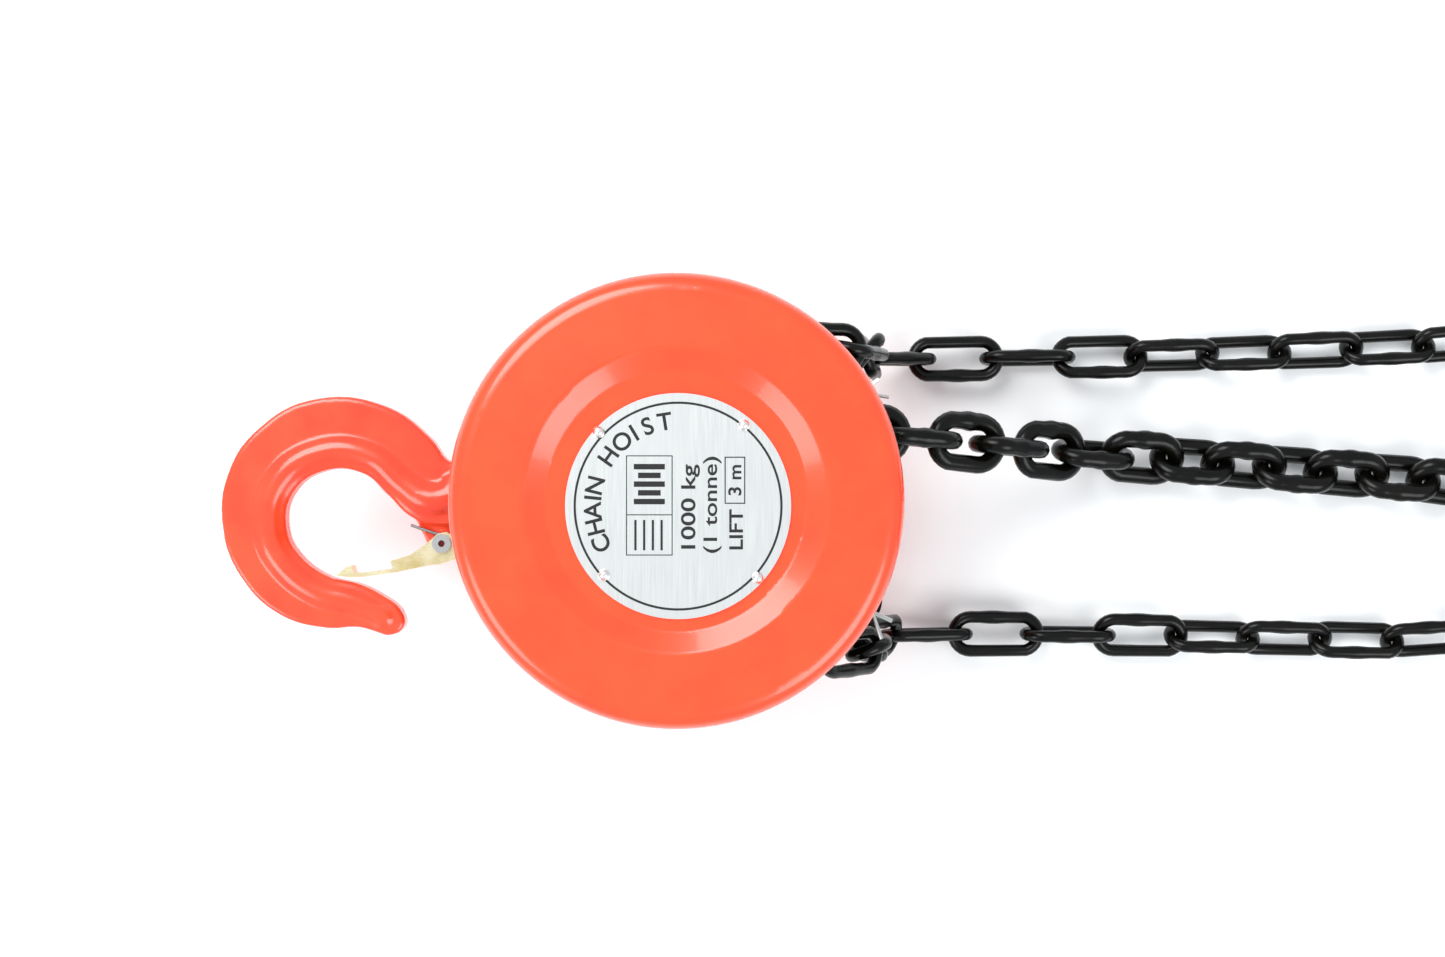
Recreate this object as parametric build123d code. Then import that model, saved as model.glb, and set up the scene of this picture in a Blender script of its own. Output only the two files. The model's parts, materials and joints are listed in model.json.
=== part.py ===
from build123d import *
import os
from math import cos, sin, tan, pi, radians, atan2

# A one tonne hand chain hoist, lying on its gear side. Millimetres, +Z up.
# The origin is where the drive shaft's axis meets the surface that the hoist lies on.
# The top hook points to -X, and the chains leave to +X.

# Heights of the stack, from the gear cover up to the hand-wheel cover
SHEET = 2.0  # sheet thickness of both covers
GEAR_PLATE = (27.0, 33.0)
WHEEL_PLATE = (72.0, 77.0)
MIDDLE = 52.5  # load chain, sheave and hook
BRAKE_Z = 80.0
WHEEL_MIDDLE = 102.5  # hand chain
COVER_TOP = 120.0
RECESS = 3.6  # how far the nameplate's floor lies below the cover's top

# Outlines
COVER_RADIUS = 71.0
PLATE_RADIUS = 68.5
GEAR_COVER_RADIUS = 69.5
SCREW_CIRCLE = 63.0
SCREW_ANGLES = (90, 150, 210, 270)
STAY_CIRCLE = 60.0
STAY_ANGLES = (65, 115, 245, 295)

# Load chain 6 x 18 and hand chain 4.2 x 25: pitch, wire and outer width of a link
LOAD_PITCH, LOAD_WIRE, LOAD_WIDTH = 18.0, 6.0, 20.5
HAND_PITCH, HAND_WIRE, HAND_WIDTH = 25.0, 4.2, 16.0
LINK_SLACK = 0.3
SHEAVE_POCKETS, SHEAVE_START = 4, 112.5
WHEEL_POCKETS, WHEEL_START = 6, 99.0

# Shafts, bearings and running clearance
RUN = 0.05  # radial clearance of everything that turns
SHAFT = 6.5
JOURNAL = 17.5
ROLLER = 2.5
ROLLER_COUNT = 16
RING_OUTER = 26.0
GEAR_BEARING, WHEEL_BEARING, BEARING_DEEP = 26.6, 71.4, 6.8

# Gears
MODULE = 1.2
PINION_TEETH, GEAR_TEETH = 12, 48
CENTRES = MODULE * (PINION_TEETH + GEAR_TEETH) / 2
TOOTH_SHARE = 0.40  # tooth thickness as a share of half the pitch angle, less than 0.5 for backlash

# Brake
HUB = 10.0
BRAKE_DISC = 30.0
RATCHET_TEETH, RATCHET_ROOT, RATCHET_TIP = 12, 29.0, 33.0
PAWL_CIRCLE, PAWL_ANGLES = 46.0, (100, 280)
PAWL_SWEEP = 28.0

# Hooks: place of the top hook's pivot, its tilt, and the bowl
TOP_PIVOT = (-50.0, 8.4)
TOP_TILT = 13.8
HOOK_THICK = 17.0
HOOK_LUG = 8.0
SHANK = 6.5
BOWL_CENTRE, BOWL_RADIUS = 64.8, 17.4
LATCH_PIVOT = (32.9, 15.5)
LATCH_REST = 3.9  # angle of the shut latch

# Pins, bushes and places that more than one piece shares
PIN = 4.0
TRUNNION = 8.0
BUSH_OUTER = 6.5
JOURNAL_SMALL = 4.0
SPLINE = 12.0
SLACK_Y = -23.35
SLACK_END = 44.9
ANCHOR = (SLACK_END + 4.75, SLACK_Y)
ROLLER_PLACE = (38.0, 41.0)
GUIDES = ((52.5, 31.5), (56.5, -31.5))
GUIDE_RADII = (7.5, 8.0)
PLATE_CENTRE = (0.6, -1.6)
RATCHET_PHASE = PAWL_ANGLES[0] - PAWL_SWEEP - 1.2

# Bottom block, at the far end of the load chain
BLOCK_PIN = (753.3, -44.0, 18.0)
BLOCK_HALF = 16.0
BLOCK_FRONT = 14.0
HOOK_FROM_PIN = 36.0

# Hanks: the chain that is put away, wound on straight runs with round ends
LOAD_HANK = dict(start=350.0, y=-44.0, run=225.0, half=42.75, high=41.0)
HAND_HANK = dict(start=350.0, y=37.5, run=350.0, half=36.0, high=48.0)
HANK_FLOOR = 1.0

LOAD_ROUTE = (
    (24.6, 23.5, 52.5), (55, 22.8, 52.3), (75, 21.0, 50.6), (94, 19.4, 44.5), (111, 17.8, 34.0),
    (125, 16.5, 23.0), (141, 15.4, 14.6), (160.5, 14.2, 10.6), (195, 11.6, 10.4), (231, 8.6, 10.5),
    (263, 6.4, 10.4), (300, 1.0, 10.6), (345, -8.0, 10.8), (385, -11.5, 11.2),
)
LOAD_END_ROUTE = (
    (618, -44.0, 52.4), (634, -44.0, 52.4), (647.4, -44.2, 50.4), (660.1, -44.2, 46.0),
    (671.9, -44.1, 39.5), (682.4, -44.0, 31.0), (694.2, -43.9, 24.4), (707.0, -43.9, 20.0),
    (719.3, -44.0, 18.0), (732.7, -44.0, 18.0),
)
HAND_ROUTE_A = (
    (34.8, 48.3, 102.5), (48, 48.3, 101.8), (55, 48.2, 98.0), (60, 48.1, 89.5), (61.6, 48.0, 76.0),
    (61.9, 48.0, 60.0), (62.1, 48.0, 44.0), (63.2, 48.0, 29.0), (68, 48.1, 16.8), (78, 48.3, 10.2),
    (93, 48.6, 8.4), (122, 49.0, 8.3), (165, 49.6, 8.4), (215, 51.3, 8.3), (263, 53.2, 8.3), (300, 57.0, 8.5),
    (345, 63.0, 8.6), (382, 65.5, 9.0),
)
HAND_ROUTE_B = (
    (49.6, -48.2, 102.5), (57, -48.2, 97.5), (61.6, -48.1, 88.0), (62.1, -48.0, 75.0), (62.2, -47.9, 61.0),
    (62.4, -47.8, 46.0), (63.4, -47.7, 31.0), (68, -47.5, 18.0), (78, -47.3, 10.6), (93, -47.2, 8.5),
    (122, -47.2, 8.3), (170, -47.8, 8.4), (218, -49.0, 8.3), (263, -50.1, 8.8),
    (286, -45.0, 14.0), (306, -34.0, 24.5), (326, -19.0, 34.5), (348, -3.0, 39.5), (376, 7.5, 41.0),
)


def save(name, *shapes):
    """Write one node's solids to its STEP file."""
    solids = [solid for shape in shapes for solid in shape.solids()]
    export_step(Compound(children=solids), f"parts/{name}.step")


def disc(radius, low, high, x=0.0, y=0.0, bore=0.0):
    """An upright cylinder between two heights, with an optional bore."""
    body = Pos(x, y, (low + high) / 2) * Cylinder(radius, high - low)
    if bore:
        body -= Pos(x, y, (low + high) / 2) * Cylinder(bore, high - low + 2)
    return body


def block(x0, x1, y0, y1, z0, z1):
    """A box between three pairs of limits."""
    middle = Pos((x0 + x1) / 2, (y0 + y1) / 2, (z0 + z1) / 2)
    return middle * Box(x1 - x0, y1 - y0, z1 - z0)


def slab(points, low, high):
    """A flat plate with a straight-sided outline."""
    face = make_face(Polyline(*points, close=True))
    return Pos(0, 0, low) * extrude(face, high - low)


def turned(points, radii=0.0):
    """A solid turned about the Z axis from an outline of (radius, height) points."""
    places = [(radius, 0, height) for radius, height in points]
    outline = FilletPolyline(*places, radius=radii, close=True) if radii else Polyline(*places, close=True)
    return revolve(make_face(outline), Axis.Z)


def around(circle, angles):
    """Places on a circle about the origin."""
    return [(circle * cos(radians(angle)), circle * sin(radians(angle))) for angle in angles]


def hexagon(across, low, high, x, y, bore=0.0):
    """A hexagonal bolt head or nut."""
    body = Pos(x, y, low) * extrude(RegularPolygon(across / 2, 6, major_radius=False), high - low)
    if bore:
        body -= Pos(x, y, (low + high) / 2) * Cylinder(bore, high - low + 2)
    return body


# ---------------------------------------------------------------- chains

def link(pitch, wire, width):
    """One chain link, flat in XY, with its long way along X."""
    bend = (width - wire) / 2
    half = (pitch + LINK_SLACK + wire) / 2 - bend
    section = Pos(half, bend, 0) * Rot(0, 90, 0) * Circle(wire / 2)
    end = revolve(section, Axis((half, 0, 0), (0, 0, 1)), -180)
    side = Rot(0, 90, 0) * Cylinder(wire / 2, 2 * half)
    return end + Rot(0, 0, 180) * end + Pos(0, bend, 0) * side + Pos(0, -bend, 0) * side


def wrap_radii(pitch, wire, width, step):
    """Radii of the lying and standing links on a pocket wheel: their wires touch but don't cross."""
    bend = (width - wire) / 2
    half = (pitch + wire) / 2 - bend
    reach = (pitch + wire) / 2
    free = bend - wire - 0.1
    lean = radians(step * 2 / 3)
    turn = radians(step)
    lying = (reach * cos(turn) + half + free * cos(lean)) / sin(turn)
    standing = lying * cos(turn) + reach * sin(turn) + free * sin(lean)
    return lying, standing


def link_at(shape, x, y, z, heading, lying):
    """A link placed flat or on edge, with its long way along a heading."""
    return Pos(x, y, z) * Rot(0, 0, heading) * Rot(90 if lying else 0, 0, 0) * shape


def wrap(shape, radii, start, step, height, lying_first):
    """Four or six links round a pocket wheel, over the side that faces -X."""
    links = []
    for index in range(round(180 / step)):
        lying = lying_first == (index % 2 == 0)
        radius = radii[0] if lying else radii[1]
        angle = start + step * index
        x, y = around(radius, [angle])[0]
        links.append(link_at(shape, x, y, height, angle + 90, lying))
    return links


def route(points, radius):
    """A tube along straight runs joined by arcs as large as the runs allow."""
    corners = [Vector(*point) for point in points]
    radii = []
    for before, here, after in zip(corners, corners[1:], corners[2:]):
        turn = radians((here - before).get_angle(after - here))
        shorter = min((here - before).length, (after - here).length)
        radii.append(0.45 * shorter / tan(turn / 2))
    path = FilletPolyline(*points, radius=radii)
    tube = sweep(Plane(origin=path @ 0, z_dir=path % 0) * Circle(radius), path)
    print("route", round(path.length, 1), "smallest radius", round(min(radii), 1),
          "volume share", round(tube.volume / (pi * radius ** 2 * path.length), 4))
    return tube


def hank(start, y, run, half, high):
    """The outer shape of a wound hank: straight sides and round ends."""
    middle = start + half + run / 2
    outline = Pos(middle, y) * SlotCenterToCenter(run, 2 * half)
    return Pos(0, 0, HANK_FLOOR) * extrude(outline, high)


def chains():
    """The links round both wheels, the free strands as tubes, the hanks and their ties."""
    load_link = link(LOAD_PITCH, LOAD_WIRE, LOAD_WIDTH)
    hand_link = link(HAND_PITCH, HAND_WIRE, HAND_WIDTH)
    load_step = 180 / SHEAVE_POCKETS
    hand_step = 180 / WHEEL_POCKETS
    load_radii = wrap_radii(LOAD_PITCH, LOAD_WIRE, LOAD_WIDTH, load_step)
    hand_radii = wrap_radii(HAND_PITCH, HAND_WIRE, HAND_WIDTH, hand_step)
    load = wrap(load_link, load_radii, SHEAVE_START, load_step, MIDDLE, False)
    load.append(link_at(load_link, 8.6, 23.5, MIDDLE, 0, True))
    load.append(link_at(load_link, SLACK_END - 2 * LOAD_PITCH, SLACK_Y, MIDDLE, 0, False))
    load.append(link_at(load_link, SLACK_END - LOAD_PITCH, SLACK_Y, MIDDLE, 0, True))
    load.append(link_at(load_link, SLACK_END, SLACK_Y, MIDDLE, 0, False))
    save("load_chain_wrap", *load)
    hand = wrap(hand_link, hand_radii, WHEEL_START, hand_step, WHEEL_MIDDLE, False)
    hand.append(link_at(hand_link, 17.4, 48.3, WHEEL_MIDDLE, 0, True))
    hand.append(link_at(hand_link, 7.5, -48.2, WHEEL_MIDDLE, 0, False))
    hand.append(link_at(hand_link, 32.4, -48.2, WHEEL_MIDDLE, 0, True))
    save("hand_chain_wrap", *hand)
    save("load_chain_strand", route(LOAD_ROUTE, LOAD_WIDTH / 2), route(LOAD_END_ROUTE, LOAD_WIDTH / 2))
    save("hand_chain_strand_a", route(HAND_ROUTE_A, HAND_WIDTH / 2))
    save("hand_chain_strand_b", route(HAND_ROUTE_B, HAND_WIDTH / 2))
    ridge = block(410, 640, BLOCK_PIN[1] - LOAD_WIDTH / 2, BLOCK_PIN[1] + LOAD_WIDTH / 2, 30, 62.5)
    save("load_chain_hank", hank(**LOAD_HANK) + ridge)
    save("hand_chain_hank", hank(**HAND_HANK))
    ties = [tie(LOAD_HANK["y"], LOAD_HANK["half"], 62.5), tie(HAND_HANK["y"], HAND_HANK["half"], 49.0)]
    save("hank_ties", *ties)


def tie(y, half, top):
    """A flat strap round a hank."""
    x0, x1 = 520, 532
    inner = block(x0 - 1, x1 + 1, y - half - 0.2, y + half + 0.2, HANK_FLOOR - 0.2, top + 0.3)
    return block(x0, x1, y - half - 0.7, y + half + 0.7, 0, top + 1.1) - inner


# ---------------------------------------------------------------- frame

def side_plates():
    """Two round plates that carry everything else."""
    holes = [(x, y, 4.0) for x, y in around(STAY_CIRCLE, STAY_ANGLES)]
    holes += [(x, y, 2.6) for x, y in around(SCREW_CIRCLE, SCREW_ANGLES)]
    holes += [(0, 0, RING_OUTER), (*TOP_PIVOT, TRUNNION + RUN), (*ANCHOR, PIN)]
    holes += [(ROLLER_PLACE[0], side * ROLLER_PLACE[1], 3.0) for side in (1, -1)]
    gear_holes = [(0, side * CENTRES, BUSH_OUTER) for side in (1, -1)]
    wheel_holes = [(x, y, 3.0) for x, y in around(PAWL_CIRCLE, PAWL_ANGLES)]
    wheel_holes += [(x, y, PIN) for x, y in GUIDES]
    for name, levels, extra in (
        ("gear_side_plate", GEAR_PLATE, gear_holes),
        ("wheel_side_plate", WHEEL_PLATE, wheel_holes),
    ):
        plate = disc(PLATE_RADIUS, *levels)
        plate = chamfer(plate.edges(), 0.8)
        for x, y, radius in holes + extra:
            plate -= disc(radius, levels[0] - 1, levels[1] + 1, x, y)
        save(name, plate)


def stays():
    """Four shouldered bolts that hold the plates apart, each with a nut at both ends."""
    bolts, nuts = [], []
    for x, y in around(STAY_CIRCLE, STAY_ANGLES):
        bolt = disc(6.0, GEAR_PLATE[1], WHEEL_PLATE[0], x, y)
        bolt += disc(3.95, GEAR_PLATE[0] - 6.5, WHEEL_PLATE[1] + 6.5, x, y)
        bolts.append(bolt)
        nuts.append(hexagon(13, GEAR_PLATE[0] - 5.5, GEAR_PLATE[0], x, y, 3.96))
        nuts.append(hexagon(13, WHEEL_PLATE[1], WHEEL_PLATE[1] + 5.5, x, y, 3.96))
    save("stay_bolts", *bolts)
    save("stay_nuts", *nuts)


def stamped_dish(outer, inner):
    """A turned sheet shell between an outer and an inner outline."""
    return turned(*outer) - turned(*inner)


def covers():
    """The gear cover, the hand-wheel cover with its open mouth, and their screws and weld nuts."""
    outer = ([(0, 0), (GEAR_COVER_RADIUS, 0), (GEAR_COVER_RADIUS, 27), (0, 27)], (0, 7, 0, 0))
    inner_radius = GEAR_COVER_RADIUS - SHEET
    inner = ([(0, SHEET), (inner_radius, SHEET), (inner_radius, 28), (0, 28)], (0, 5, 0, 0))
    gear_cover = stamped_dish(outer, inner)
    for x, y in [(0, 0), (0, CENTRES), (0, -CENTRES)]:
        gear_cover += disc(BUSH_OUTER + 2.5, SHEET - 0.5, 7.2, x, y)
        gear_cover -= disc(BUSH_OUTER, SHEET, 8, x, y)
    for angle in SCREW_ANGLES:
        tab = block(57, inner_radius + 0.5, -6, 6, 25, 27) - disc(2.6, 20, 30, SCREW_CIRCLE, 0)
        gear_cover += Rot(0, 0, angle) * tab
    save("gear_cover", gear_cover)

    top, floor = COVER_TOP, COVER_TOP - RECESS
    outer = (
        [(0, floor), (40.5, floor), (47.5, top), (63, top - 0.8), (COVER_RADIUS, top - 1.2),
         (COVER_RADIUS, 77), (0, 77)],
        (0, 2.5, 3.5, 20, 6.0, 0, 0),
    )
    inner_radius = COVER_RADIUS - SHEET
    inner = (
        [(0, floor - SHEET), (41.3, floor - SHEET), (48.3, top - SHEET), (63, top - 0.8 - SHEET),
         (inner_radius, top - 1.2 - SHEET), (inner_radius, 76), (0, 76)],
        (0, 4.5, 1.5, 18, 4.0, 0, 0),
    )
    cover = stamped_dish(outer, inner)
    mouth = [(0, 0), *around(100, range(-58, 59, 29))]
    cover -= slab(mouth, 70, 112.0)
    for angle in SCREW_ANGLES:
        tab = block(57, inner_radius + 0.5, -6, 6, 77, 79) - disc(2.6, 70, 90, SCREW_CIRCLE, 0)
        cover += Rot(0, 0, angle) * tab
    for x, y in rivet_places():
        cover -= disc(1.3, 100, 130, x, y)
    save("hand_wheel_cover", cover)

    screws, nuts = [], []
    for x, y in around(SCREW_CIRCLE, SCREW_ANGLES):
        screws.append(hexagon(8, 33, 36.5, x, y) + disc(2.5, 20.5, 33, x, y))
        screws.append(hexagon(8, 68.5, 72, x, y) + disc(2.5, 72, 83.5, x, y))
        nuts.append(hexagon(8, 21, 25, x, y, 2.5))
        nuts.append(hexagon(8, 79, 83, x, y, 2.5))
    save("cover_screws", *screws)
    save("cover_weld_nuts", *nuts)


def rivet_places():
    """The nameplate's four rivets, which were set by eye and aren't quite even."""
    return [
        (PLATE_CENTRE[0] + circle * cos(radians(angle)), PLATE_CENTRE[1] + circle * sin(radians(angle)))
        for circle, angle in ((33.6, 137), (32.3, 51), (31.3, 223), (33.2, -42))
    ]


def nameplate():
    """A round plate on the floor of the cover's recess, with four round-head rivets."""
    low = COVER_TOP - RECESS
    plate = disc(35.0, low, low + 0.8, *PLATE_CENTRE)
    rivets = []
    for x, y in rivet_places():
        plate -= disc(1.3, low - 1, low + 2, x, y)
        head = Pos(x, y, low + 0.8) * Sphere(1.9) & block(x - 3, x + 3, y - 3, y + 3, low + 0.8, low + 4)
        rivets.append(head + disc(1.25, low - 3, low + 0.8, x, y))
    save("nameplate", plate)
    save("nameplate_rivets", *rivets)


def guides():
    """Two hand-chain guides, their pins, the load chain's anchor pin and the split pins."""
    lugs, pins, splits = [], [], []
    for (x, y), radius in zip(GUIDES, GUIDE_RADII):
        lug = disc(radius, 84, 104, x, y) + disc(6.2, 77, 84, x, y)
        lugs.append(lug - disc(PIN, 70, 110, x, y))
        pins.append(disc(PIN, 72, 110.0, x, y) + disc(6.0, 69.5, 72, x, y))
    x, y = ANCHOR
    pins.append(disc(PIN, 30, 82.5, x, y) + disc(6.0, GEAR_PLATE[0] - 3, GEAR_PLATE[0], x, y)
                + disc(PIN, 27, 30, x, y))
    places = [(*GUIDES[0], 107.9, 25), (*GUIDES[1], 107.9, -36), (*ANCHOR, 79.5, 40)]
    for index, (x, y, z, heading) in enumerate(places):
        place = Pos(x, y, z) * Rot(0, 0, heading)
        pins[index] -= place * Rot(0, 90, 0) * Cylinder(1.1, 20)
        splits.append(place * split_pin(PIN))
    save("hand_chain_guides", *lugs)
    save("clevis_pins", *pins)
    save("split_pins", *splits)


def split_pin(reach):
    """A split pin through a pin of the given radius: eye at -X, two spread legs at +X."""
    stem = Pos(0.5, 0, 0) * Rot(0, 90, 0) * Cylinder(1.0, 2 * reach + 3)
    eye = Pos(-reach - 2.4, 0, 0) * Rot(90, 0, 0) * Torus(1.7, 0.7)
    legs = stem
    for lean, length in ((-34, 9.0), (12, 7.0)):
        leg = Pos(length / 2, 0, 0) * Rot(0, 90, 0) * Cylinder(0.65, length)
        legs += Pos(reach + 1.6, 0, 0) * Rot(0, 0, lean) * leg
    return legs + eye


def stripper():
    """A cast finger that lifts the slack links out of the sheave."""
    body = block(40, 50, -7, 7, GEAR_PLATE[1], WHEEL_PLATE[0]) + block(33.8, 41, -7, 7, 42, 63)
    body += block(20, 34, -5, 5, MIDDLE - 2.4, MIDDLE + 2.4)
    save("chain_stripper", body)


def guide_rollers():
    """Two rollers that keep the load chain in the sheave's pockets."""
    pins = []
    for name, side in (("guide_roller_a", 1), ("guide_roller_b", -1)):
        x, y = ROLLER_PLACE[0], side * ROLLER_PLACE[1]
        roller = disc(6.5, 33.6, 71.4, x, y, 3.0 + RUN)
        save(name, chamfer(roller.edges().filter_by(GeomType.CIRCLE).group_by(SortBy.RADIUS)[-1], 0.6))
        pins.append(disc(3.0, GEAR_PLATE[0], WHEEL_PLATE[1], x, y))
    save("roller_pins", *pins)


def bearings():
    """Two full sets of rollers and their outer rings."""
    rings = []
    for name, low in (("rollers_gear_side", GEAR_BEARING), ("rollers_wheel_side", WHEEL_BEARING)):
        rollers = []
        circle = JOURNAL + RUN + ROLLER
        for x, y in around(circle, [360 * index / ROLLER_COUNT for index in range(ROLLER_COUNT)]):
            rollers.append(disc(ROLLER, low + 0.6, low + BEARING_DEEP - 0.6, x, y))
        save(name, *rollers)
        rings.append(disc(RING_OUTER, low, low + BEARING_DEEP, bore=circle + ROLLER + RUN))
    save("bearing_rings", *rings)


# ---------------------------------------------------------------- gears and brake

def gear(teeth, low, high, tip, root, phase):
    """A spur gear with involute flanks above its base circle and radial flanks below."""
    pitch = MODULE * teeth / 2
    base = pitch * cos(radians(20))
    share = TOOTH_SHARE * pi / teeth
    top = pitch + tip * MODULE
    bottom = pitch - root * MODULE
    steps = [max(bottom, base + 0.02), pitch, top]
    half = [share + involute(base, pitch) - involute(base, radius) for radius in steps]
    points = []
    for tooth in range(teeth):
        middle = 2 * pi * tooth / teeth + radians(phase)
        flank = [(bottom, half[0])] if bottom < steps[0] else []
        flank += list(zip(steps, half))
        for radius, angle in flank:
            points.append((radius * cos(middle - angle), radius * sin(middle - angle)))
        for radius, angle in reversed(flank):
            points.append((radius * cos(middle + angle), radius * sin(middle + angle)))
    return slab(points, low, high)


def involute(base, radius):
    """The angle, in radians, that an involute has turned by at a radius."""
    pressure = atan2((radius ** 2 - base ** 2) ** 0.5, base)
    return tan(pressure) - pressure


def gears():
    """Two disc gears with their pinions, the load gear, the bushes and a circlip."""
    bushes = [disc(BUSH_OUTER, SHEET, 7, bore=JOURNAL_SMALL + RUN)]
    for name, side in (("disc_gear_a", 1), ("disc_gear_b", -1)):
        wheel = gear(GEAR_TEETH, 8.2, 15, 0.7, 1.15, 180 / GEAR_TEETH)
        pinion = gear(PINION_TEETH, 15, 26.2, 0.8, 1.1, 180 / PINION_TEETH)
        body = wheel + pinion + disc(JOURNAL_SMALL, 2.6, 32.5)
        for x, y in around(19, range(0, 360, 60)):
            body -= disc(4.5, 7, 14.99, x, y)
        save(name, Pos(0, side * CENTRES, 0) * body)
        bushes.append(disc(BUSH_OUTER, SHEET, 7, 0, side * CENTRES, JOURNAL_SMALL + RUN))
        bushes.append(disc(BUSH_OUTER, 27, 33, 0, side * CENTRES, JOURNAL_SMALL + RUN))
    save("gear_bushes", *bushes)
    load_gear = gear(GEAR_TEETH, 19, 25.8, 0.7, 1.15, 0) - disc(SPLINE, 10, 30)
    save("load_gear", load_gear)
    ring = disc(14, 17.3, 18.6, bore=SPLINE - 1)
    save("load_gear_circlip", ring - block(8, 16, -3, 3, 16, 20))


def sheave():
    """The load sheave: a hollow shaft with four pockets."""
    body = turned([
        (SHAFT + RUN, 16.8), (SPLINE - RUN, 16.8), (SPLINE - RUN, 26), (JOURNAL, 26), (JOURNAL, 34.2),
        (33, 34.2), (33, 36.5), (26.5, MIDDLE - 11), (26.0, MIDDLE - 4.2), (12.6, MIDDLE - 3.8),
        (12.6, MIDDLE + 3.8), (26.0, MIDDLE + 4.2), (26.5, MIDDLE + 11), (33, 68.5),
        (33, 70.8), (JOURNAL, 70.8), (JOURNAL, 78.8), (SHAFT + RUN, 78.8),
    ])
    lying = wrap_radii(LOAD_PITCH, LOAD_WIRE, LOAD_WIDTH, 45)[0]
    for index in range(SHEAVE_POCKETS):
        pocket = block(lying - 4.3, 60, -16.8, 16.8, MIDDLE - 11, MIDDLE + 11)
        body -= Rot(0, 0, SHEAVE_START + 45 + 90 * index) * pocket
    groove = disc(SPLINE + 1, 17.2, 18.7, bore=SPLINE - 1)
    save("load_sheave", body - groove)


def drive():
    """The drive shaft with its pinion, the brake hub, the castle nut and its split pin."""
    shaft = disc(JOURNAL_SMALL, 2.6, 8) + gear(PINION_TEETH, 7.6, 15.6, 0.8, 1.1, 0)
    shaft += disc(SHAFT, 15.6, 114.0)
    shaft -= Pos(0, 0, 112.4) * Rot(90, 0, 0) * Cylinder(0.9, 30)
    save("drive_shaft", shaft)
    hub = disc(BRAKE_DISC, BRAKE_Z, BRAKE_Z + 4, bore=SHAFT + 0.02)
    hub += disc(HUB, 79.2, 106, bore=SHAFT + 0.02)
    save("brake_hub", hub)
    nut = hexagon(20, 108.2, 114.0, 0, 0, SHAFT + 0.02)
    for angle in range(0, 180, 60):
        nut -= Pos(0, 0, 112.7) * Rot(0, 0, angle + 90) * Box(40, 2.4, 3.4)
    save("castle_nut", nut)
    pin = Pos(0, 0, 112.4) * Rot(90, 0, 0) * Cylinder(0.85, 24)
    save("shaft_split_pin", pin)


def hand_wheel():
    """The pocket wheel that the hand chain turns."""
    low, high = WHEEL_MIDDLE - 11, WHEEL_MIDDLE + 11
    body = turned([
        (HUB + 0.03, 93.6), (30, 93.6), (30, 96.5), (38, 96.5), (38, low), (52, low), (52, low + 2.0),
        (50, low + 2.5), (50, WHEEL_MIDDLE - 2.8), (38.6, WHEEL_MIDDLE - 2.8), (38.6, WHEEL_MIDDLE + 2.8),
        (50, WHEEL_MIDDLE + 2.8), (50, high - 2.5), (52, high - 2.0), (52, high), (36, high),
        (36, 103), (15, 103), (15, 107.9), (HUB + 0.03, 107.9),
    ])
    lying = wrap_radii(HAND_PITCH, HAND_WIRE, HAND_WIDTH, 30)[0]
    for index in range(WHEEL_POCKETS):
        pocket = block(lying - 3.1, 70, -18.6, 18.6, WHEEL_MIDDLE - 8.5, WHEEL_MIDDLE + 8.5)
        body -= Rot(0, 0, WHEEL_START + 30 + 60 * index) * pocket
    for x, y in around(24, range(0, 360, 60)):
        body -= disc(4, 90, 110, x, y)
    save("hand_wheel", body)


def brake():
    """The ratchet wheel, two friction discs, and two pawls with their pins and springs."""
    points = []
    for index in range(RATCHET_TEETH):
        start = RATCHET_PHASE + 360 * index / RATCHET_TEETH
        points += around(RATCHET_ROOT, [start + 0.5])
        points += around(RATCHET_ROOT + 0.6, [start + 7])
        points += around(RATCHET_TIP - 0.7, [start + 22])
        points += around(RATCHET_TIP, [start + 29.5])
    ratchet = slab(points, 86.3, 91.2) - disc(HUB + RUN, 80, 100)
    save("ratchet_wheel", ratchet)
    discs = [disc(BRAKE_DISC, 84.3, 86.3, bore=16.5), disc(28, 91.2, 93.3, bore=16.5)]
    save("friction_discs", *discs)
    pins, springs = [], []
    for name, angle in zip(("pawl_a", "pawl_b"), PAWL_ANGLES):
        x, y = around(PAWL_CIRCLE, [angle])[0]
        nose = angle - PAWL_SWEEP
        tip = around(RATCHET_ROOT + 1.3, [nose, nose + 6])
        back = around(37.5, [nose + 3])
        low_edge = around(38.0, [nose + 20])
        lever = slab([tip[0], tip[1], low_edge[0], (x, y), around(49.0, [angle - 1])[0], back[0]], 86, 90.6)
        lever += disc(5.0, 86, 90.6, x, y)
        save(name, lever - disc(3.0 + RUN, 80, 95, x, y))
        pins.append(disc(3.0, 72, 91.0, x, y) + disc(4.4, 77, 79, x, y))
        coil = disc(4.3, 79.6, 84.8, x, y, 3.3)
        arm = Pos(x, y, 84.2) * Rot(0, 0, angle - 150) * Pos(5.5, 0, 0) * Rot(0, 90, 0) * Cylinder(0.5, 5)
        springs.append(coil + arm)
    save("pawl_pins", *pins)
    save("pawl_springs", *springs)


# ---------------------------------------------------------------- hooks

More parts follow.
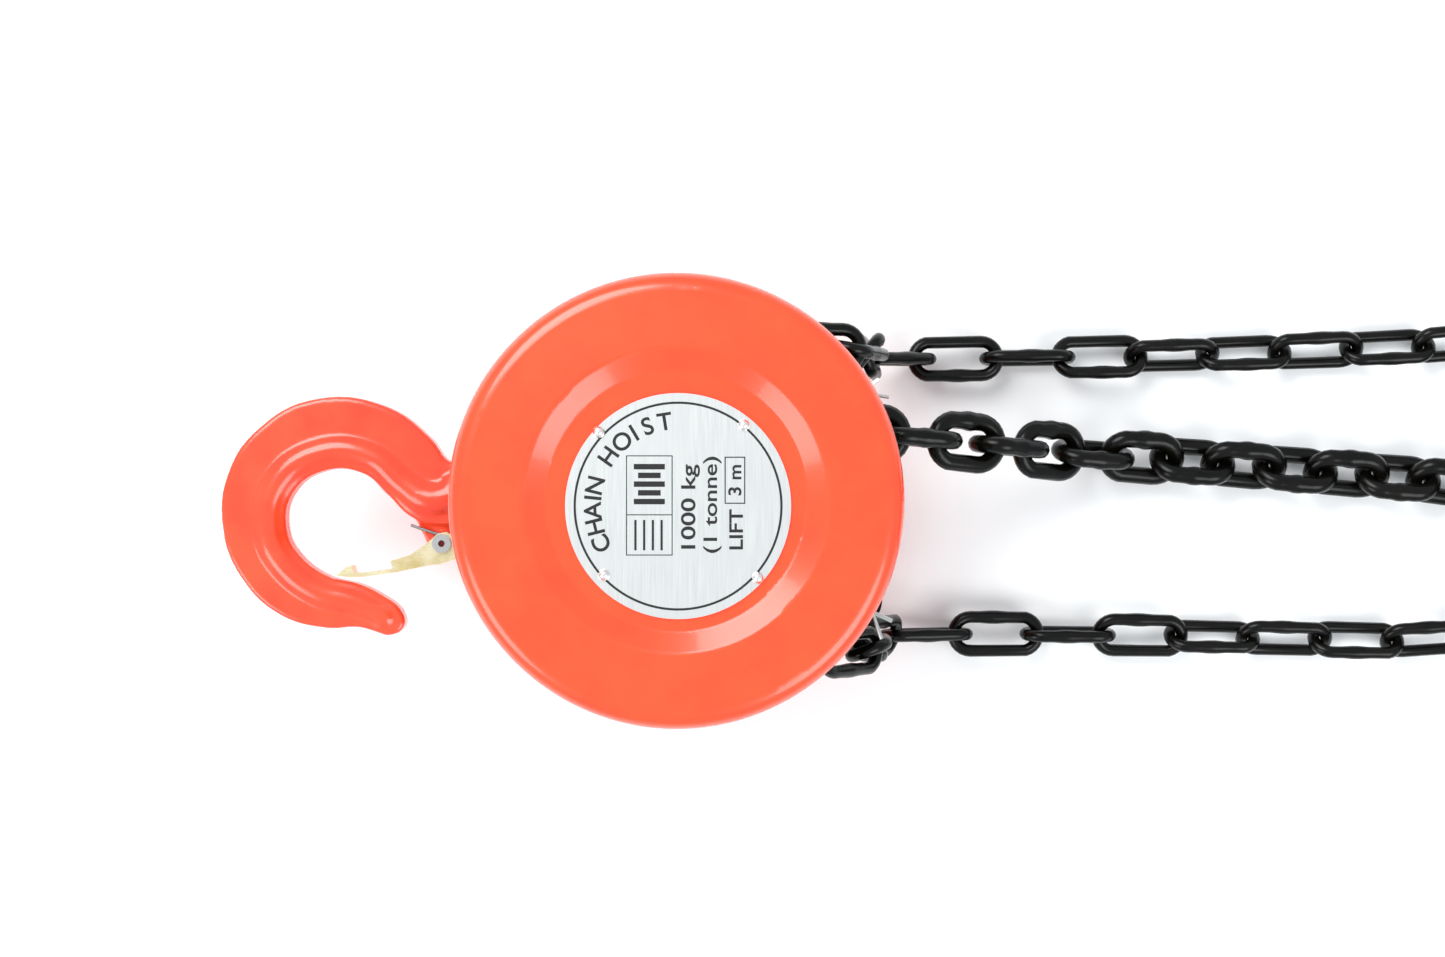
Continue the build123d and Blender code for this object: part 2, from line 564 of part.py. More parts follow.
def hook(shank_end):
    """A forged hook: +X is down along its shank, +Y is the open side, and Z is its thickness."""
    outside = Spline(
        (14, -8.5), (27, -8.6), (30.6, -21.0), (41.6, -33.6), (63.6, -41.3), (82.5, -37.2), (97.0, -24.2),
        (103.4, -5), (101.0, 10.8), (91.4, 26.1), (77, 33.6), (66.2, 36.0),
        tangents=((1, 0), (-1, 0.12)),
    )
    nose = Spline(
        (66.2, 36.0), (61.6, 38.6), (56.9, 41.0), (51.8, 39.0), (51.6, 34.0), (57, 27.0), (62.8, 22.2),
        (72.4, 17.0), (80.4, 7.0), (82.0, -1.0), (77.6, -12.0), (65.4, -17.1), (53.0, -13.2), (46.5, -4.0),
        (42.0, 4.6), (38.0, 8.6),
        tangents=((-1, 0.5), (-0.8, 0.6)),
    )
    top = Polyline((38.0, 8.6), (14, 8.5), (14, -8.5))
    body = extrude(make_face([outside, nose, top]), HOOK_THICK / 2, both=True)
    collar = Pos(13.2, 0, 0) * Rot(0, 90, 0) * Cylinder(10.5, 5.6)
    neck = Pos(20.0, 0, 0) * Rot(0, 90, 0) * Cone(10.0, 8.4, 12)
    shank = Pos((shank_end + 12) / 2, 0, 0) * Rot(0, 90, 0) * Cylinder(SHANK, 12 - shank_end)
    lug = slab([(24, 6), (28, 14), (31, 18.4), (37.3, 15.5), (40, 6)], -HOOK_LUG / 2, HOOK_LUG / 2)
    lug += Pos(*LATCH_PIVOT, 0) * Cylinder(4.6, HOOK_LUG)
    body += collar + neck + shank + lug
    return body - Pos(*LATCH_PIVOT, 0) * Cylinder(2.0 + RUN, 30)


def latch():
    """A pressed channel from the pivot to the nose, open towards the bowl."""
    cheek = [
        (-4.8, -0.5), (-2.6, -3.2), (0.3, -3.5), (4.2, -1.8), (11, 0.4), (21.7, 0.4), (25.5, -0.9),
        (28.6, -2.0), (32.8, -2.2), (36.9, -0.5), (33, 1.2), (28.4, 2.6), (17.1, 4.5), (5.6, 5.6),
        (3, 6.3), (-2.5, 6.3), (-4.2, 3.4),
    ]
    hollow = [(-8, -8), (-8, 4.95), (3, 4.95), (5.6, 4.4), (17, 3.3), (28, 1.4), (31, 0.5), (31, -8)]
    body = slab(cheek, -8.0, 8.0) - slab(hollow, -6.8, 6.8)
    narrow = slab([(18, -8), (18, 8), (50, 8), (50, -8)], 5.2, 9)
    body -= narrow + mirror(narrow, Plane.XY)
    body -= Cylinder(2.0 + RUN, 40)
    return Pos(*LATCH_PIVOT, 0) * Rot(0, 0, LATCH_REST) * body


def latch_rivet():
    x, y = LATCH_PIVOT
    body = Cylinder(2.0, 18.4)
    for side in (1, -1):
        body += Pos(0, 0, side * 8.9) * Cylinder(3.1, 1.2)
    return Pos(x, y, 0) * (body - Cylinder(1.1, 30))


def latch_spring():
    """Three turns of wire round the rivet, with a leg along the neck."""
    x, y = LATCH_PIVOT
    body = Pos(x, y, 5.0) * Torus(2.8, 0.55) + Pos(x, y, 6.0) * Torus(2.8, 0.55)
    leg = Pos(x, y - 2.8, 5.0) * Rot(0, 0, -32) * Pos(5.2, 0, 0) * Rot(0, 90, 0) * Cylinder(0.5, 10.4)
    return body + leg


def hook_set(prefix, place, shank_end, nut_low):
    """A hook with its nut, latch, latch rivet and latch spring."""
    save(f"{prefix}_hook", place * hook(shank_end))
    nut = Pos(nut_low + 3, 0, 0) * Rot(0, 90, 0) * (Cylinder(9.4, 6) - Cylinder(SHANK + 0.02, 8))
    save(f"{prefix}_hook_nut", place * nut)
    save(f"{prefix}_latch", place * latch())
    save(f"{prefix}_latch_rivet", place * latch_rivet())
    save(f"{prefix}_latch_spring", place * latch_spring())


def top_suspension():
    """The crossbeam between the plates, and the top hook that swivels in it."""
    place = Pos(*TOP_PIVOT, MIDDLE) * Rot(0, 0, 180 + TOP_TILT)
    beam = Box(20, 27, 37.6) + Cylinder(TRUNNION, WHEEL_PLATE[1] - GEAR_PLATE[0] + 2)
    beam -= Rot(0, 90, 0) * Cylinder(SHANK + RUN, 40)
    beam -= Pos(-6.4, 0, 0) * Rot(0, 90, 0) * Cylinder(9.8, 7.4)
    save("top_crossbeam", place * beam)
    hook_set("top", place, -9.7, -9.7)


def bottom_block():
    """Two bolted halves round the chain's last link and the bottom hook's shank."""
    place = Pos(*BLOCK_PIN)
    half = BLOCK_HALF
    outline = [(-14, -15), (-8, -19), (40, -19), (46, -14), (46, 14), (40, 19), (-8, 19), (-14, 15)]
    body = slab(outline, -half, half)
    body -= block(-20, 10.6, -10.9, 10.9, -3.5, 3.5) + block(-20, -1, -3.6, 3.6, -10.9, 10.9)
    body -= Pos(25, 0, 0) * Rot(0, 90, 0) * Cylinder(10.2, 14)
    body -= Pos(40, 0, 0) * Rot(0, 90, 0) * Cylinder(7.0, 20)
    body -= Cylinder(PIN, 40)
    bolts = []
    for bolt_x, bolt_y in [(14.5, 15), (14.5, -15), (38, 13.5), (38, -13.5)]:
        body -= disc(2.5, 2 - half, half + 1, bolt_x, bolt_y)
        head = hexagon(8, half, half + 1.8, bolt_x, bolt_y)
        bolts.append(head + disc(2.5, 2.5 - half, half, bolt_x, bolt_y))
    halves = [body & block(-30, 60, -30, 30, 0.02, 30), body & block(-30, 60, -30, 30, -30, -0.02)]
    end_link = link(LOAD_PITCH, LOAD_WIRE, LOAD_WIDTH)
    touch = PIN + 0.05 - (LOAD_PITCH + LINK_SLACK) / 2
    save("block_halves", *[place * part for part in halves])
    save("block_bolts", *[place * bolt for bolt in bolts])
    save("block_chain_pin", place * Cylinder(PIN, 2 * half))
    save("load_chain_end", place * Pos(touch, 0, 0) * end_link)
    hook_set("bottom", place * Pos(HOOK_FROM_PIN, 0, 0), -16.0, -15.0)


if __name__ == "__main__":
    os.makedirs("parts", exist_ok=True)
    side_plates()
    stays()
    covers()
    nameplate()
    guides()
    stripper()
    guide_rollers()
    bearings()
    gears()
    sheave()
    drive()
    hand_wheel()
    brake()
    top_suspension()
    bottom_block()
    chains()
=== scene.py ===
import bpy
import json
from math import cos, sin, pi, radians
from mathutils import Matrix, Vector


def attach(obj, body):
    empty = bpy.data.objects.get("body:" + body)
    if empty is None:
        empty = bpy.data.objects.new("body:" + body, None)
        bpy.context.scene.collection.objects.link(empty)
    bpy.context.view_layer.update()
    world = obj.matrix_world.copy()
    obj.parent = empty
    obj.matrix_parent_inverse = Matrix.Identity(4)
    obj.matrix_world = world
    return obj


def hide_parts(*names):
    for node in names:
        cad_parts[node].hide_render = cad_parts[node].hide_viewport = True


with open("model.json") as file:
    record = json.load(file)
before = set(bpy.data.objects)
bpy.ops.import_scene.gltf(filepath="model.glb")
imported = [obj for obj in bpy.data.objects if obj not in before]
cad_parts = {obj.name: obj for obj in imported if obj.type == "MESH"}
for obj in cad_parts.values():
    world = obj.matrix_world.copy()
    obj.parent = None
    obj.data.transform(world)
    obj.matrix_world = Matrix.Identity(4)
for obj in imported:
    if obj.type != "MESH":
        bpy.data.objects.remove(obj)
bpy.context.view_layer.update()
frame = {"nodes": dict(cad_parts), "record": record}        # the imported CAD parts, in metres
MM = 0.001

# Heights and places that the looks share with the CAD parts, in millimetres
PLATE_TOP = 117.2
PLATE_CENTRE = (0.6, -1.6)
PRINT_TOP = 0.06         # how far the print stands above the nameplate
PRINT_THICK = 0.05
TEXT_RAISE, TEXT_HALF = 0.04, 0.03           # height of the words' middle, and half their thickness
TOP_PIVOT = (-50.0, 8.4, 52.5)
TOP_HEADING = 193.8
BLOCK_PIN = (753.3, -44.0, 18.0)
HOOK_FROM_PIN = 36.0
HOOK_THICK = 17.0
IN_VIEW = 285.0          # links nearer than this along X are modelled finely

# Load chain 6 x 18 and hand chain 4.2 x 25: pitch, wire and outer width of a link
LOAD_PITCH, LOAD_WIRE, LOAD_WIDTH = 18.0, 6.0, 20.5
HAND_PITCH, HAND_WIRE, HAND_WIDTH = 25.0, 4.2, 16.0
LINK_SLACK = 0.3
LINK_FINE = (26, 12)                         # segments around a link and around its wire, in view
LINK_COARSE = (12, 6)                        # and in the hanks
WELD_STRETCH = (0.75, 1.13, 1.13)            # how a weld bead is drawn in along and swollen across
LOAD_ENDS = (2.0, 18.0)                      # from each end of a chain's line to its first link's middle
HAND_ENDS = (7.5, 7.7)
DROPPING_LINKS = 3.0                         # links from a wheel down to the table
UPRIGHT_LINKS, LEANING_LINKS = 6.0, 3.0      # links that stay square, then those that roll over

LOAD_ROUTE = (
    (24.6, 23.5, 52.5), (55, 22.8, 52.3), (75, 21.0, 50.6), (94, 19.4, 44.5), (111, 17.8, 34.0),
    (125, 16.5, 23.0), (141, 15.4, 14.6), (160.5, 14.2, 10.6), (195, 11.6, 10.4), (231, 8.6, 10.5),
    (263, 6.4, 10.4), (300, 1.0, 10.6), (345, -8.0, 10.8),
)
LOAD_END_ROUTE = (
    (618, -44.0, 52.4), (634, -44.0, 52.4), (647.4, -44.2, 50.4), (660.1, -44.2, 46.0),
    (671.9, -44.1, 39.5), (682.4, -44.0, 31.0), (694.2, -43.9, 24.4), (707.0, -43.9, 20.0),
    (719.3, -44.0, 18.0), (732.7, -44.0, 18.0), (748.2, -44.0, 18.0),
)
HAND_ROUTE_A = (
    (34.8, 48.3, 102.5), (48, 48.3, 101.8), (55, 48.2, 98.0), (60, 48.1, 89.5), (61.6, 48.0, 76.0),
    (61.9, 48.0, 60.0), (62.1, 48.0, 44.0), (63.2, 48.0, 29.0), (68, 48.1, 16.8), (78, 48.3, 10.2),
    (93, 48.6, 8.4), (122, 49.0, 8.3), (165, 49.6, 8.4), (215, 51.3, 8.3), (263, 53.2, 8.3), (300, 57.0, 8.5),
    (345, 63.0, 8.6),
)
HAND_ROUTE_B = (
    (49.6, -48.2, 102.5), (57, -48.2, 97.5), (61.6, -48.1, 88.0), (62.1, -48.0, 75.0), (62.2, -47.9, 61.0),
    (62.4, -47.8, 46.0), (63.4, -47.7, 31.0), (68, -47.5, 18.0), (78, -47.3, 10.6), (93, -47.2, 8.5),
    (122, -47.2, 8.3), (170, -47.8, 8.4), (218, -49.0, 8.3), (263, -50.1, 8.8),
    (286, -45.0, 14.0), (306, -34.0, 24.5), (326, -19.0, 34.5), (348, -3.0, 39.5),
)

# Hanks: lanes in the order that the chain fills them, as (Y, layer), first lane towards +X
LOAD_LANES = ((-11.5, 0), (-76.5, 0), (-32, 0), (-56, 0), (-32, 1), (-56, 1), (-11.5, 1), (-76.5, 1))
LOAD_LAYERS = (11.25, 31.75)
LOAD_RUN = (392.75, 617.75)
HAND_LANES = (
    (65.5, 0), (9.5, 0), (49.5, 0), (25.5, 0), (49.5, 1), (25.5, 1), (65.5, 1), (9.5, 1), (65.5, 2), (9.5, 2),
)
HAND_LAYERS = (9.0, 25.0, 41.0)
HAND_RUN = (386.0, 736.0)
LANE_STEPS = 4           # route points along a lane, less one
FOLD_STEPS = 8           # steps round the half turn between lanes
OVER_START, OVER_STEP = 410.0, 52.0          # route points of the load chain's last run over its hank


# ---------------------------------------------------------------- colour and materials

def linear(code):
    """A colour given as an sRGB hex code, as the linear values that a shader takes."""
    values = [int(code[start:start + 2], 16) / 255 for start in (0, 2, 4)]
    curve = [value / 12.92 if value <= 0.04045 else ((value + 0.055) / 1.055) ** 2.4 for value in values]
    return (*curve, 1.0)


def add_node(tree, kind, settings=None, inputs=None, links=None):
    """Adds one node, sets its properties and input values, and links inputs from other sockets."""
    made = tree.nodes.new(kind)
    for name, value in (settings or {}).items():
        setattr(made, name, value)
    for name, value in (inputs or {}).items():
        made.inputs[name].default_value = value
    for name, socket in (links or {}).items():
        tree.links.new(socket, made.inputs[name])
    return made


def surface(name, colour, metallic, roughness, extra=None):
    """A material with one shader, and the object coordinates that its patterns read."""
    made = bpy.data.materials.new(name)
    made.use_nodes = True
    made.diffuse_color = linear(colour)
    tree = made.node_tree
    shader = tree.nodes["Principled BSDF"]
    shader.inputs["Base Color"].default_value = linear(colour)
    shader.inputs["Metallic"].default_value = metallic
    shader.inputs["Roughness"].default_value = roughness
    for key, value in (extra or {}).items():
        shader.inputs[key].default_value = value
    place = add_node(tree, "ShaderNodeTexCoord").outputs["Object"]
    return made, tree, shader, place


def speckle(tree, place, grain, stretch=(1, 1, 1), detail=3.0):
    """Noise whose features are about `grain` millimetres across, longer where stretch is below 1."""
    scaled = add_node(tree, "ShaderNodeMapping", links={"Vector": place})
    scaled.inputs["Scale"].default_value = stretch
    noise = add_node(tree, "ShaderNodeTexNoise", inputs={"Scale": 1 / (grain * MM), "Detail": detail},
                     links={"Vector": scaled.outputs["Vector"]})
    return noise.outputs["Fac"]


def vary_roughness(tree, shader, pattern, low, high):
    """Roughness that goes from low to high with a pattern."""
    spread = add_node(tree, "ShaderNodeMapRange", inputs={"To Min": low, "To Max": high},
                      links={"Value": pattern})
    tree.links.new(spread.outputs["Result"], shader.inputs["Roughness"])


def vary_colour(tree, shader, pattern, first, second, low=0.35, high=0.65):
    """Base colour that goes between two hex codes with a pattern."""
    ramp = add_node(tree, "ShaderNodeValToRGB", links={"Fac": pattern})
    ramp.color_ramp.elements[0].position = low
    ramp.color_ramp.elements[0].color = linear(first)
    ramp.color_ramp.elements[1].position = high
    ramp.color_ramp.elements[1].color = linear(second)
    tree.links.new(ramp.outputs["Color"], shader.inputs["Base Color"])


def raise_surface(tree, shader, pattern, height, strength=1.0):
    """A bump of a given height in millimetres."""
    bump = add_node(tree, "ShaderNodeBump", inputs={"Distance": height * MM, "Strength": strength},
                    links={"Height": pattern})
    tree.links.new(bump.outputs["Normal"], shader.inputs["Normal"])


def gloss_powder_coat(name, colour, darker, roughness):
    # Baked gloss powder coat on sheet or forged steel: an even, strong colour with a clear skin,
    # and a faint orange peel about 1.5 mm across that breaks up the highlights
    made, tree, shader, place = surface(name, colour, 0.0, roughness,
                                        {"Coat Weight": 0.35, "Coat Roughness": 0.08, "IOR": 1.5})
    vary_colour(tree, shader, speckle(tree, place, 14), darker, colour)
    raise_surface(tree, shader, speckle(tree, place, 1.5, detail=1.0), 0.012)
    return made


def brushed_metal(name, colour, roughness, grain=0.5, along=(0.03, 1, 1)):
    # Rolled or brushed bare metal: fine parallel lines that stretch the reflections across them
    made, tree, shader, place = surface(name, colour, 1.0, roughness)
    lines = speckle(tree, place, grain, stretch=along)
    vary_roughness(tree, shader, lines, roughness - 0.08, roughness + 0.1)
    raise_surface(tree, shader, lines, 0.006)
    return made


def worn_steel(name, colour, roughness, grain=1.2, height=0.01):
    # Machined, plated or cast steel: an even grey with a slightly cloudy gloss
    made, tree, shader, place = surface(name, colour, 1.0, roughness)
    cloud = speckle(tree, place, grain)
    vary_roughness(tree, shader, cloud, roughness - 0.06, roughness + 0.12)
    raise_surface(tree, shader, cloud, height)
    return made


def black_oxide(name):
    # Quenched chain steel with an oiled black oxide skin: nearly black, glossy in spots,
    # with a brown-green cast where the light grazes it
    made, tree, shader, place = surface(name, "050504", 0.0, 0.26, {"Specular IOR Level": 0.22})
    vary_colour(tree, shader, speckle(tree, place, 6), "020202", "0B0A06")
    vary_roughness(tree, shader, speckle(tree, place, 1.0), 0.16, 0.32)
    raise_surface(tree, shader, speckle(tree, place, 1.2), 0.008)
    return made


def zinc_chromate(name):
    # Pressed steel with yellow zinc plating: pale gold that drifts to green and pink
    made, tree, shader, place = surface(name, "E8D9A0", 0.85, 0.3)
    vary_colour(tree, shader, speckle(tree, place, 7), "DDC98C", "F2E8C0")
    vary_roughness(tree, shader, speckle(tree, place, 0.6, stretch=(0.2, 1, 1)), 0.2, 0.38)
    return made


def plain_matte(name, colour, roughness, grain, height):
    # Moulded or woven plastic: dull, with a fine regular grain
    made, tree, shader, place = surface(name, colour, 0.0, roughness, {"IOR": 1.48})
    raise_surface(tree, shader, speckle(tree, place, grain), height)
    return made


COVER_PAINT = gloss_powder_coat("orange_red_gloss_powder_coat", "F6491F", "F1441C", 0.26)
HOOK_PAINT = gloss_powder_coat("orange_red_dipped_enamel", "F54B2A", "EF4022", 0.24)
CHAIN_STEEL = black_oxide("oiled_black_oxide_chain_steel")
PLATE_METAL = brushed_metal("brushed_anodised_aluminium", "E9EAE8", 0.34, grain=0.35, along=(1, 0.02, 1))
PLATE_INK = plain_matte("black_screen_printed_ink", "101010", 0.45, 0.3, 0.002)
MATERIALS = {
    "cover_paint": COVER_PAINT,
    "hook_paint": HOOK_PAINT,
    "black_coating": CHAIN_STEEL,
    "chain_bulk": CHAIN_STEEL,
    "nameplate_aluminium": PLATE_METAL,
    "rivet_aluminium": brushed_metal("bright_headed_aluminium_rivet", "F2F2F0", 0.22, grain=0.6,
                                     along=(1, 1, 1)),
    "frame_zinc": brushed_metal("zinc_plated_rolled_steel_plate", "B9BBB8", 0.36),
    "bright_steel": worn_steel("bright_zinc_plated_fastener_steel", "C6C8C6", 0.28),
    "bearing_steel": worn_steel("ground_bearing_steel", "C9CBD0", 0.16),
    "cast_steel": worn_steel("sand_cast_steel", "5C5C5A", 0.55, grain=0.8, height=0.06),
    "machined_steel": worn_steel("turned_and_oiled_steel", "A9A9A6", 0.26),
    "spring_steel": worn_steel("drawn_spring_steel_wire", "8E8F90", 0.3),
    "bronze": worn_steel("sintered_bronze", "B98B4C", 0.4),
    "friction_lining": plain_matte("resin_bonded_friction_lining", "4A3A2E", 0.85, 0.6, 0.05),
    "latch_zinc": zinc_chromate("yellow_zinc_plated_pressed_steel"),
    "tie_strap": plain_matte("woven_nylon_strap", "222222", 0.7, 0.8, 0.08),
}


def finish_cad_nodes():
    """Gives every CAD node the material of its record slot."""
    for entry in frame["record"]["subparts"]:
        piece = frame["nodes"][entry["node"]]
        piece.data.materials.clear()
        piece.data.materials.append(MATERIALS[entry["material_slot"]])


# ---------------------------------------------------------------- modelling helpers

def deselect():
    bpy.ops.object.select_all(action="DESELECT")


def make_active(piece):
    """Selects one piece alone."""
    deselect()
    piece.select_set(True)
    bpy.context.view_layer.objects.active = piece


def close_edit():
    if bpy.context.mode != "OBJECT":
        bpy.ops.object.mode_set(mode="OBJECT")


def name_piece(name):
    """Names the active object and its mesh."""
    piece = bpy.context.object
    piece.name = name
    piece.data.name = name
    return piece


def pick(piece, kind, test):
    """Selects the vertices, edges or faces whose middle passes a test, and returns to edit mode."""
    mesh = piece.data
    close_edit()
    bpy.context.tool_settings.mesh_select_mode = (kind == "VERT", kind == "EDGE", kind == "FACE")
    for group in (mesh.vertices, mesh.edges, mesh.polygons):
        group.foreach_set("select", [False] * len(group))
    if kind == "VERT":
        for item in mesh.vertices:
            item.select = test(item.co)
    elif kind == "EDGE":
        for item in mesh.edges:
            first, second = [mesh.vertices[index].co for index in item.vertices]
            item.select = test(first, second)
    else:
        for item in mesh.polygons:
            item.select = test(item.center, item.normal)
    bpy.ops.object.mode_set(mode="EDIT")


def settle(piece, material, body, smooth=40):
    """Applies a piece's place, shades it, gives it its material and lets it ride on a body."""
    close_edit()
    make_active(piece)
    bpy.ops.object.transform_apply(location=True, rotation=True, scale=True)
    if smooth:
        bpy.ops.object.shade_smooth_by_angle(angle=radians(smooth))
    piece.data.materials.clear()
    piece.data.materials.append(material)
    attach(piece, body)
    return piece


def join(pieces, name):
    """Joins several pieces into the first."""
    deselect()
    for piece in pieces:
        piece.select_set(True)
    bpy.context.view_layer.objects.active = pieces[0]
    bpy.ops.object.join()
    return name_piece(name)


def copy_to(piece, matrix):
    """A copy of a piece, with a mesh of its own, placed by a matrix."""
    made = piece.copy()
    made.data = piece.data.copy()
    bpy.context.collection.objects.link(made)
    made.matrix_world = matrix
    return made


# ---------------------------------------------------------------- chains

def chain_link(name, pitch, wire, width, segments, weld):
    """One link, flat in XY and long along X: a ring pulled apart, with a weld bead on one side if asked."""
    around, section = segments
    bend = (width - wire) / 2
    half = (pitch + LINK_SLACK + wire) / 2 - bend
    deselect()
    bpy.ops.mesh.primitive_torus_add(major_radius=bend * MM, minor_radius=wire / 2 * MM,
                                     major_segments=around, minor_segments=section,
                                     rotation=(0, 0, pi / around))
    piece = name_piece(name)
    bpy.ops.object.transform_apply(location=True, rotation=True, scale=True)
    for side in (1, -1):
        pick(piece, "VERT", lambda place: place.x * side > 0)
        bpy.ops.transform.translate(value=(side * half * MM, 0, 0))
    if weld:
        pick(piece, "EDGE", lambda first, second: first.x * second.x < 0 and first.y > 0)
        bpy.ops.mesh.subdivide(number_cuts=5)
        reach = half * MM * 0.4
        pick(piece, "VERT", lambda place: abs(place.x) < reach and place.y > 0)
        bpy.ops.transform.resize(value=WELD_STRETCH, center_override=(0, bend * MM, 0))
    bpy.ops.object.mode_set(mode="OBJECT")
    bpy.ops.object.shade_smooth()
    return piece


def curve_points(name, route):
    """The smooth line that a chain follows: a NURBS spline whose control points are the route's points."""
    data = bpy.data.curves.new(name, "CURVE")
    data.dimensions = "3D"
    data.resolution_u = 8
    spline = data.splines.new("NURBS")
    spline.points.add(len(route) - 1)
    for point, place in zip(spline.points, route):
        point.co = (place[0] * MM, place[1] * MM, place[2] * MM, 1.0)
    spline.order_u = 3
    spline.use_endpoint_u = True
    line = bpy.data.objects.new(name, data)
    bpy.context.collection.objects.link(line)
    mesh = bpy.data.meshes.new_from_object(line)
    points = [vertex.co.copy() for vertex in mesh.vertices]
    bpy.data.objects.remove(line)
    return points


def hank_points(lanes, layers, run):
    """Route points of a hank: along each lane, then round a half turn at its end, up to the next layer."""
    points = []
    for index, (y, layer) in enumerate(lanes):
        outward = index % 2 == 0
        start, end = run if outward else run[::-1]
        for step in range(LANE_STEPS + 1):
            points.append((start + (end - start) * step / LANE_STEPS, y, layers[layer]))
        if index + 1 < len(lanes):
            next_y, next_layer = lanes[index + 1]
            centre, radius = (y + next_y) / 2, (y - next_y) / 2
            bulge = abs(radius) if outward else -abs(radius)
            for step in range(1, FOLD_STEPS):
                angle = pi * step / FOLD_STEPS
                height = layers[layer] + (layers[next_layer] - layers[layer]) * step / FOLD_STEPS
                points.append((end + bulge * sin(angle), centre + radius * cos(angle), height))
    return points


def place_at(points, lengths, distance):
    """The point at a distance along a line."""
    low, high = 0, len(lengths) - 1
    while high - low > 1:
        middle = (low + high) // 2
        if lengths[middle] <= distance:
            low = middle
        else:
            high = middle
    share = (distance - lengths[low]) / (lengths[high] - lengths[low])
    return points[low].lerp(points[high], min(max(share, -0.5), 1.5))


def lay_chain(name, points, pitch, ends, fine, coarse, gap_parity, twist):
    """Links along a line, an odd or even number of gaps between them as gap_parity says. At each end the
    links stand square, every second one flat. As the chain drops it turns by the twist, and farther along
    the table its links lean 45 degrees each way."""
    lead, tail = ends
    lengths = [0.0]
    for before, here in zip(points, points[1:]):
        lengths.append(lengths[-1] + (here - before).length)
    total = lengths[-1]
    gaps = 2 * round((total - (lead + tail) * MM) / (2 * pitch * MM)) + gap_parity
    step = (total - (lead + tail) * MM) / gaps
    pieces = []
    for index in range(gaps + 1):
        middle = lead * MM + step * index
        ahead = place_at(points, lengths, middle + step / 2)
        behind = place_at(points, lengths, middle - step / 2)
        along = (ahead - behind).normalized()
        across = Vector((0, 0, 1)).cross(along).normalized()
        upward = along.cross(across)
        links_in = min(middle, total - middle) / (pitch * MM)
        dropped = min(max((links_in - 1) / DROPPING_LINKS, 0.0), 1.0)
        settled = min(max((links_in - UPRIGHT_LINKS) / LEANING_LINKS, 0.0), 1.0)
        lean = twist * dropped - (twist - 45) * settled
        roll = radians(lean + (90 if index % 2 else 0))
        side = across * cos(roll) + upward * sin(roll)
        face = upward * cos(roll) - across * sin(roll)
        centre = (ahead + behind) / 2
        matrix = Matrix((
            (along.x, side.x, face.x, centre.x),
            (along.y, side.y, face.y, centre.y),
            (along.z, side.z, face.z, centre.z),
            (0, 0, 0, 1),
        ))
        source = fine if centre.x < IN_VIEW * MM else coarse
        pieces.append(copy_to(source, matrix))
    return join(pieces, name)


def chains():
    """Both chains, the lines they follow, and the parts that lie on the load chain's far end."""
    load_fine = chain_link("load_link_fine", LOAD_PITCH, LOAD_WIRE, LOAD_WIDTH, LINK_FINE, True)
    load_coarse = chain_link("load_link_coarse", LOAD_PITCH, LOAD_WIRE, LOAD_WIDTH, LINK_COARSE, False)
    hand_fine = chain_link("hand_link_fine", HAND_PITCH, HAND_WIRE, HAND_WIDTH, LINK_FINE, True)
    hand_coarse = chain_link("hand_link_coarse", HAND_PITCH, HAND_WIRE, HAND_WIDTH, LINK_COARSE, False)

    # The load chain climbs from its last lane to a run over the hank, and goes down that to the block
    last_lane, top_run = LOAD_LANES[-1][0], LOAD_END_ROUTE[0]
    middle = (last_lane + top_run[1]) / 2
    radius = (top_run[1] - last_lane) / 2
    climb = []
    for step in range(1, FOLD_STEPS):
        angle = pi * step / FOLD_STEPS
        height = LOAD_LAYERS[1] + (top_run[2] - LOAD_LAYERS[1]) * step / FOLD_STEPS
        climb.append((LOAD_RUN[0] - radius * sin(angle), middle - radius * cos(angle), height))
    lanes = hank_points(LOAD_LANES, LOAD_LAYERS, LOAD_RUN)
    over = [(OVER_START + OVER_STEP * step, top_run[1], top_run[2]) for step in range(4)]
    load_line = curve_points("load_chain_line", [*LOAD_ROUTE, *lanes, *climb, *over, *LOAD_END_ROUTE])
    load_chain = lay_chain("load_chain", load_line, LOAD_PITCH, LOAD_ENDS, load_fine, load_coarse, 1, 0)
    settle(load_chain, CHAIN_STEEL, "frame", smooth=0)
    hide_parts("load_chain_strand", "load_chain_hank")
    far_nodes = [
        "load_chain_end", "block_halves", "block_bolts", "block_chain_pin", "bottom_hook_nut",
        "bottom_latch", "bottom_latch_rivet", "bottom_latch_spring",
    ]
    on_chain = [frame["nodes"][name] for name in far_nodes]

    lanes = hank_points(HAND_LANES, HAND_LAYERS, HAND_RUN)
    hand_line = curve_points("hand_chain_line", [*HAND_ROUTE_A, *lanes, *reversed(HAND_ROUTE_B)])
    hand_chain = lay_chain("hand_chain", hand_line, HAND_PITCH, HAND_ENDS, hand_fine, hand_coarse, 0, 90)
    settle(hand_chain, CHAIN_STEEL, "frame", smooth=0)
    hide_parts("hand_chain_strand_a", "hand_chain_strand_b", "hand_chain_hank")
    for spare in (load_fine, load_coarse, hand_fine, hand_coarse):
        bpy.data.objects.remove(spare)
    return load_chain, load_line, on_chain, hand_chain, hand_line


# ---------------------------------------------------------------- hooks

